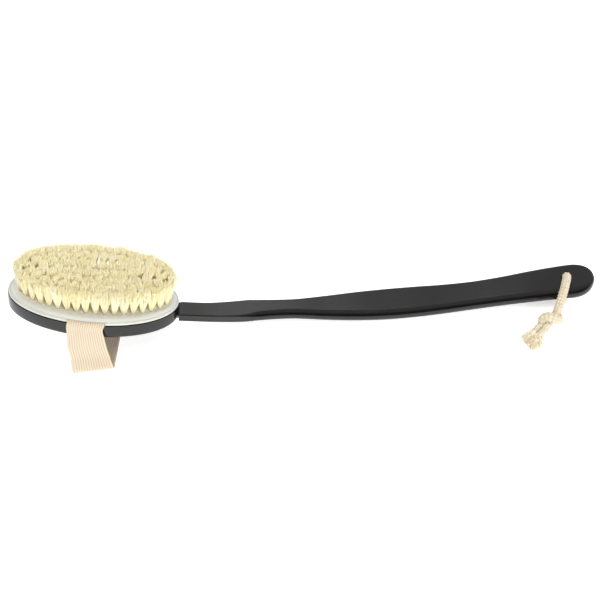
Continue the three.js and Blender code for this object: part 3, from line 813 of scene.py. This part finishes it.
# ------------------------------
# Materials
# ------------------------------
class Shader:
    """A node material with one Principled shader, built up by small helpers."""

    def __init__(self, name):
        self.material = bpy.data.materials.new(name)
        self.material.use_nodes = True
        self.nodes = self.material.node_tree.nodes
        self.links = self.material.node_tree.links
        self.nodes.clear()
        self.out = self.nodes.new("ShaderNodeOutputMaterial")
        self.bsdf = self.nodes.new("ShaderNodeBsdfPrincipled")
        self.links.new(self.bsdf.outputs[0], self.out.inputs[0])

    def set(self, **values):
        for key, value in values.items():
            self.bsdf.inputs[key.replace("_", " ")].default_value = value

    def put(self, value, socket):
        if isinstance(value, bpy.types.NodeSocket):
            self.links.new(value, socket)
        elif value is not None:
            socket.default_value = value

    def math(self, operation, a, b=None, c=None, clamp=False):
        node = self.nodes.new("ShaderNodeMath")
        node.operation = operation
        node.use_clamp = clamp
        for value, socket in zip((a, b, c), node.inputs):
            self.put(value, socket)
        return node.outputs[0]

    def coordinate(self, kind="Object", scale=(1, 1, 1), turn=(0, 0, 0)):
        source = self.nodes.new("ShaderNodeTexCoord").outputs[kind]
        mapping = self.nodes.new("ShaderNodeMapping")
        mapping.inputs["Scale"].default_value = scale
        mapping.inputs["Rotation"].default_value = turn
        self.links.new(source, mapping.inputs["Vector"])
        return mapping.outputs[0]

    def noise(self, vector, scale, detail, roughness=0.55):
        node = self.nodes.new("ShaderNodeTexNoise")
        self.links.new(vector, node.inputs["Vector"])
        node.inputs["Scale"].default_value = scale
        node.inputs["Detail"].default_value = detail
        node.inputs["Roughness"].default_value = roughness
        return node.outputs["Fac"]

    def attribute(self, name):
        node = self.nodes.new("ShaderNodeAttribute")
        node.attribute_name = name
        return node.outputs["Fac"]

    def ramp(self, value, stops):
        node = self.nodes.new("ShaderNodeValToRGB")
        self.links.new(value, node.inputs["Fac"])
        elements = node.color_ramp.elements
        while len(elements) > 1:
            elements.remove(elements[-1])
        elements[0].position, elements[0].color = stops[0][0], (*stops[0][1], 1)
        for position, colour in stops[1:]:
            element = elements.new(position)
            element.color = (*colour, 1)
        return node.outputs["Color"]

    def mix(self, factor, a, b, mode="MIX"):
        node = self.nodes.new("ShaderNodeMix")
        node.data_type = "RGBA"
        node.blend_type = mode
        self.put(factor, node.inputs["Factor"])
        self.put(a, node.inputs["A"])
        self.put(b, node.inputs["B"])
        return node.outputs["Result"]

    def range(self, value, low, high):
        node = self.nodes.new("ShaderNodeMapRange")
        self.links.new(value, node.inputs["Value"])
        node.inputs["To Min"].default_value = low
        node.inputs["To Max"].default_value = high
        return node.outputs[0]

    def bump(self, height, distance, strength):
        node = self.nodes.new("ShaderNodeBump")
        node.inputs["Strength"].default_value = strength
        node.inputs["Distance"].default_value = distance
        self.links.new(height, node.inputs["Height"])
        self.links.new(node.outputs[0], self.bsdf.inputs["Normal"])

    def link(self, socket, name):
        self.links.new(socket, self.bsdf.inputs[name])

    def separate(self, vector):
        node = self.nodes.new("ShaderNodeSeparateXYZ")
        self.links.new(vector, node.inputs[0])
        return node.outputs

    def cotton(self, fibre, smoothest, roughest, sheen):
        self.link(self.range(fibre, smoothest, roughest), "Roughness")
        self.set(Sheen_Weight=sheen, Sheen_Roughness=0.6, Specular_IOR_Level=0.25)


def lacquered_wood():
    s = Shader("black_lacquered_wood")
    along = s.coordinate("Object", scale=(1, 9, 9), turn=(0, -TILT, 0))
    grain = s.noise(along, 60, detail=6, roughness=0.62)
    fine = s.noise(along, 420, detail=3, roughness=0.6)
    cloud = s.noise(s.coordinate("Object"), 28, detail=3)
    tone = s.ramp(grain, [
        (0.3, (0.003, 0.0028, 0.0026)), (0.55, (0.005, 0.0047, 0.0045)), (0.8, (0.009, 0.0083, 0.0077))])
    s.link(tone, "Base Color")
    rough = s.math("ADD", s.range(cloud, 0.14, 0.22), s.range(fine, -0.04, 0.05))
    s.link(rough, "Roughness")
    s.set(IOR=1.45)
    height = s.math("ADD", s.math("MULTIPLY", grain, 0.7), s.math("MULTIPLY", fine, 0.3))
    s.bump(height, 0.00012, 0.3)
    return s.material


TUFTED_A, TUFTED_B = 0.0585, 0.0262    # half axes of the oval that the tufts stand on, m


def white_plastic():
    """White plastic with painted light among the tufts, warmer and lighter there, standing in for light
    through the bristles.
    """
    s = Shader("white_moulded_plastic")
    place = s.coordinate("Object")
    cloud = s.noise(place, 35, detail=3)
    fine = s.noise(place, 900, detail=2)
    outer = s.ramp(cloud, [(0.3, (0.50, 0.50, 0.46)), (0.7, (0.56, 0.56, 0.52))])
    # painted light: the plate's colour among the tufts, warmer and lighter than its own white
    painted_light_under_tufts = s.ramp(cloud, [(0.3, (0.84, 0.77, 0.56)), (0.7, (0.90, 0.84, 0.64))])
    x, y, _ = s.separate(place)
    middle = head_to_row([(OVAL_X, 0, PLATE_TOP)])[0]
    u = s.math("DIVIDE", s.math("SUBTRACT", x, float(middle[0])), TUFTED_A)
    v = s.math("DIVIDE", s.math("SUBTRACT", y, float(middle[1])), TUFTED_B)
    reach = s.math("SQRT", s.math("ADD", s.math("MULTIPLY", u, u), s.math("MULTIPLY", v, v)))
    # where the painted light lies: inside the oval that the tufts stand on
    edge = s.ramp(reach, [(0.90, (0, 0, 0)), (0.97, (1, 1, 1))])
    s.link(s.mix(edge, painted_light_under_tufts, outer), "Base Color")
    s.link(s.range(cloud, 0.24, 0.36), "Roughness")
    s.set(IOR=1.49, Subsurface_Weight=0.08, Subsurface_Scale=0.002)
    s.bump(fine, 0.00003, 0.4)
    return s.material


def bristle_material():
    s = Shader("natural_bristle")
    # tone holds each bristle's own random tone and the painted light on the higher clumps
    tone = s.attribute("tone")
    rise = s.attribute("rise")
    fine = s.noise(s.coordinate("Object"), 1500, detail=2)
    mixed = s.math("ADD", s.math("MULTIPLY", tone, 0.75), s.math("MULTIPLY", fine, 0.25), clamp=True)
    colour = s.ramp(mixed, [
        (0.1, (0.88, 0.78, 0.43)), (0.4, (0.94, 0.86, 0.55)),
        (0.65, (0.96, 0.895, 0.63)), (0.95, (0.98, 0.94, 0.75))])
    end = s.ramp(rise, [(0.0, (0.94, 0.93, 0.88)), (0.35, (1, 1, 1)), (1.0, (1, 1, 1))])
    s.link(s.mix(1.0, colour, end, "MULTIPLY"), "Base Color")
    s.link(s.range(fine, 0.38, 0.6), "Roughness")
    s.set(IOR=1.5)
    s.bump(fine, 0.00004, 0.5)
    return s.material


def webbing_material():
    s = Shader("ribbed_cotton_webbing")
    x, y, _ = s.separate(s.coordinate("UV"))
    place = s.math("DIVIDE", x, WEBBING_WIDTH / RIBS)
    rib = s.math("FRACT", place)
    slant = s.math("ABSOLUTE", s.math("SUBTRACT", rib, 0.5))
    odd = s.math("MULTIPLY", s.math("FLOOR", place), 0.5)
    run = s.math("ADD", s.math("DIVIDE", y, PICK), s.math("ADD", slant, odd))
    stitch = s.math("SINE", s.math("MULTIPLY", run, 2 * math.pi))
    groove = s.math("SINE", s.math("MULTIPLY", rib, math.pi))
    fibre = s.noise(s.coordinate("UV", scale=(1.0, 0.22, 1.0)), 6.5, detail=5, roughness=0.7)
    cloud = s.noise(s.coordinate("Object"), 70, detail=3)
    # painted shade: the grooves between the ribs and the low places of the weave's stitches are painted
    # darker; the fibre noise adds the yarn's own tone
    weave_shade_and_fibre = s.math("ADD", s.math("MULTIPLY", stitch, 0.24), s.math("MULTIPLY", groove, 0.6))
    weave_shade_and_fibre = s.math("ADD", weave_shade_and_fibre, s.math("MULTIPLY", fibre, 0.35))
    shade = s.math("MULTIPLY_ADD", weave_shade_and_fibre, 0.62, s.math("MULTIPLY", cloud, 0.14), clamp=True)
    colour = s.ramp(shade, [
        (0.1, (0.34, 0.25, 0.155)), (0.3, (0.50, 0.41, 0.29)),
        (0.5, (0.60, 0.515, 0.395)), (0.8, (0.66, 0.575, 0.455))])
    s.link(colour, "Base Color")
    s.cotton(fibre, 0.8, 0.97, sheen=0.35)
    s.set(Subsurface_Weight=0.4, Subsurface_Radius=(1.0, 0.72, 0.42), Subsurface_Scale=0.0025)
    s.bump(weave_shade_and_fibre, 0.00022, 0.8)
    return s.material


YARNS_ROUND = 14        # fine yarns seen round the cord


def cotton_cord_material():
    s = Shader("braided_cotton_cord")
    x, y, _ = s.separate(s.coordinate("UV"))
    twist = s.math("DIVIDE", y, BRAID_PITCH)
    turn = s.math("DIVIDE", x, 2 * math.pi * CORD_R)
    leaning = s.math("ADD", turn, s.math("MULTIPLY", twist, 5.0))
    lean = s.math("SINE", s.math("MULTIPLY", leaning, 2 * math.pi * YARNS_ROUND))
    fibre = s.noise(s.coordinate("Object"), 1100, detail=4, roughness=0.7)
    cloud = s.noise(s.coordinate("Object"), 260, detail=3)
    height = s.math("ADD", s.math("MULTIPLY", lean, 0.18), fibre)
    raised = s.attribute("tone")
    # painted shade: the colour is darker where the relief is low, in the gaps between the braid's strands
    # (tone) and between the yarns (height)
    shade = s.math("ADD", s.math("MULTIPLY", cloud, 0.35), s.math("MULTIPLY", height, 0.3), clamp=True)
    shade = s.math("ADD", shade, s.math("MULTIPLY", raised, 0.35), clamp=True)
    colour = s.ramp(shade, [
        (0.2, (0.26, 0.20, 0.125)), (0.42, (0.46, 0.39, 0.27)),
        (0.62, (0.58, 0.51, 0.375)), (0.85, (0.68, 0.61, 0.47))])
    speck = s.ramp(s.noise(s.coordinate("Object"), 620, detail=1), [(0.62, (0, 0, 0)), (0.72, (1, 1, 1))])
    colour = s.mix(s.math("MULTIPLY", speck, 0.55), colour, (0.46, 0.30, 0.20, 1))
    s.link(colour, "Base Color")
    s.cotton(fibre, 0.82, 0.98, sheen=0.35)
    s.bump(height, 0.00016, 0.8)
    return s.material


def yarn_material():
    s = Shader("loose_cotton_yarn")
    tone = s.attribute("tone")
    fibre = s.noise(s.coordinate("Object"), 1300, detail=3, roughness=0.7)
    shade = s.math("ADD", s.math("MULTIPLY", tone, 0.5), s.math("MULTIPLY", fibre, 0.5))
    colour = s.ramp(shade, [
        (0.15, (0.62, 0.50, 0.33)), (0.45, (0.84, 0.74, 0.54)), (0.8, (0.90, 0.83, 0.66))])
    s.link(colour, "Base Color")
    s.cotton(fibre, 0.82, 0.98, sheen=0.3)
    s.bump(fibre, 0.00008, 0.7)
    return s.material


def steel_material():
    s = Shader("galvanised_wire")
    drawn = s.noise(s.coordinate("Object", scale=(1, 8, 8)), 500, detail=3)
    s.link(s.ramp(drawn, [(0.3, (0.52, 0.53, 0.54)), (0.7, (0.68, 0.68, 0.69))]), "Base Color")
    s.link(s.range(drawn, 0.25, 0.42), "Roughness")
    s.set(Metallic=1.0)
    s.bump(drawn, 0.00003, 0.4)
    return s.material


def floor_material():
    s = Shader("white_table")
    cloud = s.noise(s.coordinate("Object"), 3, detail=3)
    s.link(s.ramp(cloud, [(0.3, (0.90, 0.90, 0.90)), (0.7, (0.93, 0.93, 0.93))]), "Base Color")
    s.link(s.range(cloud, 0.75, 0.9), "Roughness")
    s.set(Specular_IOR_Level=0.2, Emission_Color=(1, 1, 1, 1), Emission_Strength=0.6)
    return s.material


def paint(material, *pieces):
    for piece in pieces:
        piece.data.materials.clear()
        piece.data.materials.append(material)


paint(lacquered_wood(), board, grip)
paint(white_plastic(), plate)
paint(bristle_material(), *bristle_pieces)
paint(webbing_material(), strap)
paint(cotton_cord_material(), over_piece, under_piece, core_piece, wrap_piece, left_stub, right_stub)
paint(yarn_material(), left_yarns, right_yarns, fuzz_over, fuzz_wrap, fuzz_under)
steel = steel_material()
for name, node in frame["nodes"].items():
    if name.startswith("strap_staple"):
        for place in node.material_slots:
            place.material = steel

# ------------------------------
# Table and light
# ------------------------------
TABLE_HALF, TABLE_POINTS, TABLE_BELOW = 30.0, 9, 0.00005    # m, grid points a side, m under the part


def table():
    xs = np.linspace(-TABLE_HALF, TABLE_HALF, TABLE_POINTS)
    gx, gy = np.meshgrid(xs, xs, indexing="ij")
    z = np.full(gx.size, cad_bounds[0][2] - TABLE_BELOW)
    verts = np.stack([gx.ravel(), gy.ravel(), z], 1)
    piece = build("table_top", verts, grid_faces(TABLE_POINTS, TABLE_POINTS))
    paint(floor_material(), piece)


def soft_box(name, location, target, size, power, glossy=True):
    """A rectangular lamp, in metres and watts; glossy says whether shiny pieces mirror it."""
    data = bpy.data.lights.new(name, "AREA")
    data.shape = "RECTANGLE"
    data.size, data.size_y = size
    data.energy = power
    lamp = bpy.data.objects.new(name, data)
    bpy.context.scene.collection.objects.link(lamp)
    lamp.location = location
    aim = Vector(target) - Vector(location)
    lamp.rotation_euler = aim.to_track_quat("-Z", "Y").to_euler()
    lamp.visible_glossy = glossy


DIMMEST = 0.06          # the room's light in front


def studio():
    """A light room: bright behind the brush, a little less so on the right, and overhead, and dim
    in front, so that the lacquer mirrors it as in a studio."""
    world = bpy.data.worlds.new("studio")
    bpy.context.scene.world = world
    world.use_nodes = True
    nodes, links = world.node_tree.nodes, world.node_tree.links
    nodes.clear()
    out = nodes.new("ShaderNodeOutputWorld")
    light = nodes.new("ShaderNodeBackground")
    links.new(light.outputs[0], out.inputs[0])
    direction = nodes.new("ShaderNodeTexCoord").outputs["Generated"]
    parts = nodes.new("ShaderNodeSeparateXYZ")
    links.new(direction, parts.inputs[0])

    def ease(socket, low, high):
        node = nodes.new("ShaderNodeMapRange")
        node.interpolation_type = "SMOOTHSTEP"
        node.inputs["From Min"].default_value = low
        node.inputs["From Max"].default_value = high
        links.new(socket, node.inputs["Value"])
        return node.outputs[0]

    back_wall = ease(parts.outputs["Y"], -0.55, -0.05)
    ceiling = ease(parts.outputs["Z"], 0.72, 0.92)
    bright = nodes.new("ShaderNodeMath")
    bright.operation = "MAXIMUM"
    links.new(back_wall, bright.inputs[0])
    links.new(ceiling, bright.inputs[1])
    fall = nodes.new("ShaderNodeMapRange")
    for name, value in (("From Min", -0.4), ("From Max", 0.25), ("To Min", 0.60), ("To Max", 0.53)):
        fall.inputs[name].default_value = value
    links.new(parts.outputs["X"], fall.inputs["Value"])
    level = nodes.new("ShaderNodeMath")
    level.operation = "MULTIPLY_ADD"
    links.new(bright.outputs[0], level.inputs[0])
    links.new(fall.outputs[0], level.inputs[1])
    level.inputs[2].default_value = DIMMEST
    links.new(level.outputs[0], light.inputs["Strength"])
    light.inputs["Color"].default_value = (1, 1, 1, 1)


table()
studio()
soft_box("front_fill", (0.2, -1.75, 0.75), (0, 0, 0.02), (1.6, 0.9), 6.2, glossy=False)
soft_box("left_key", (-1.3, -0.5, 1.5), (0, 0, 0), (1.2, 1.2), 7, glossy=False)
soft_box("right_fill", (0.85, -1.15, 0.5), (-0.14, 0, 0.01), (0.6, 0.4), 18, glossy=False)
soft_box("overhead", (0, 0, 2.2), (0, 0, 0), (3.2, 3.2), 38, glossy=False)
soft_box("back_panel", (-0.55, 0.95, 0.85), (0, 0, 0), (1.2, 0.9), 3.1)
bpy.context.scene.view_settings.view_transform = "Standard"
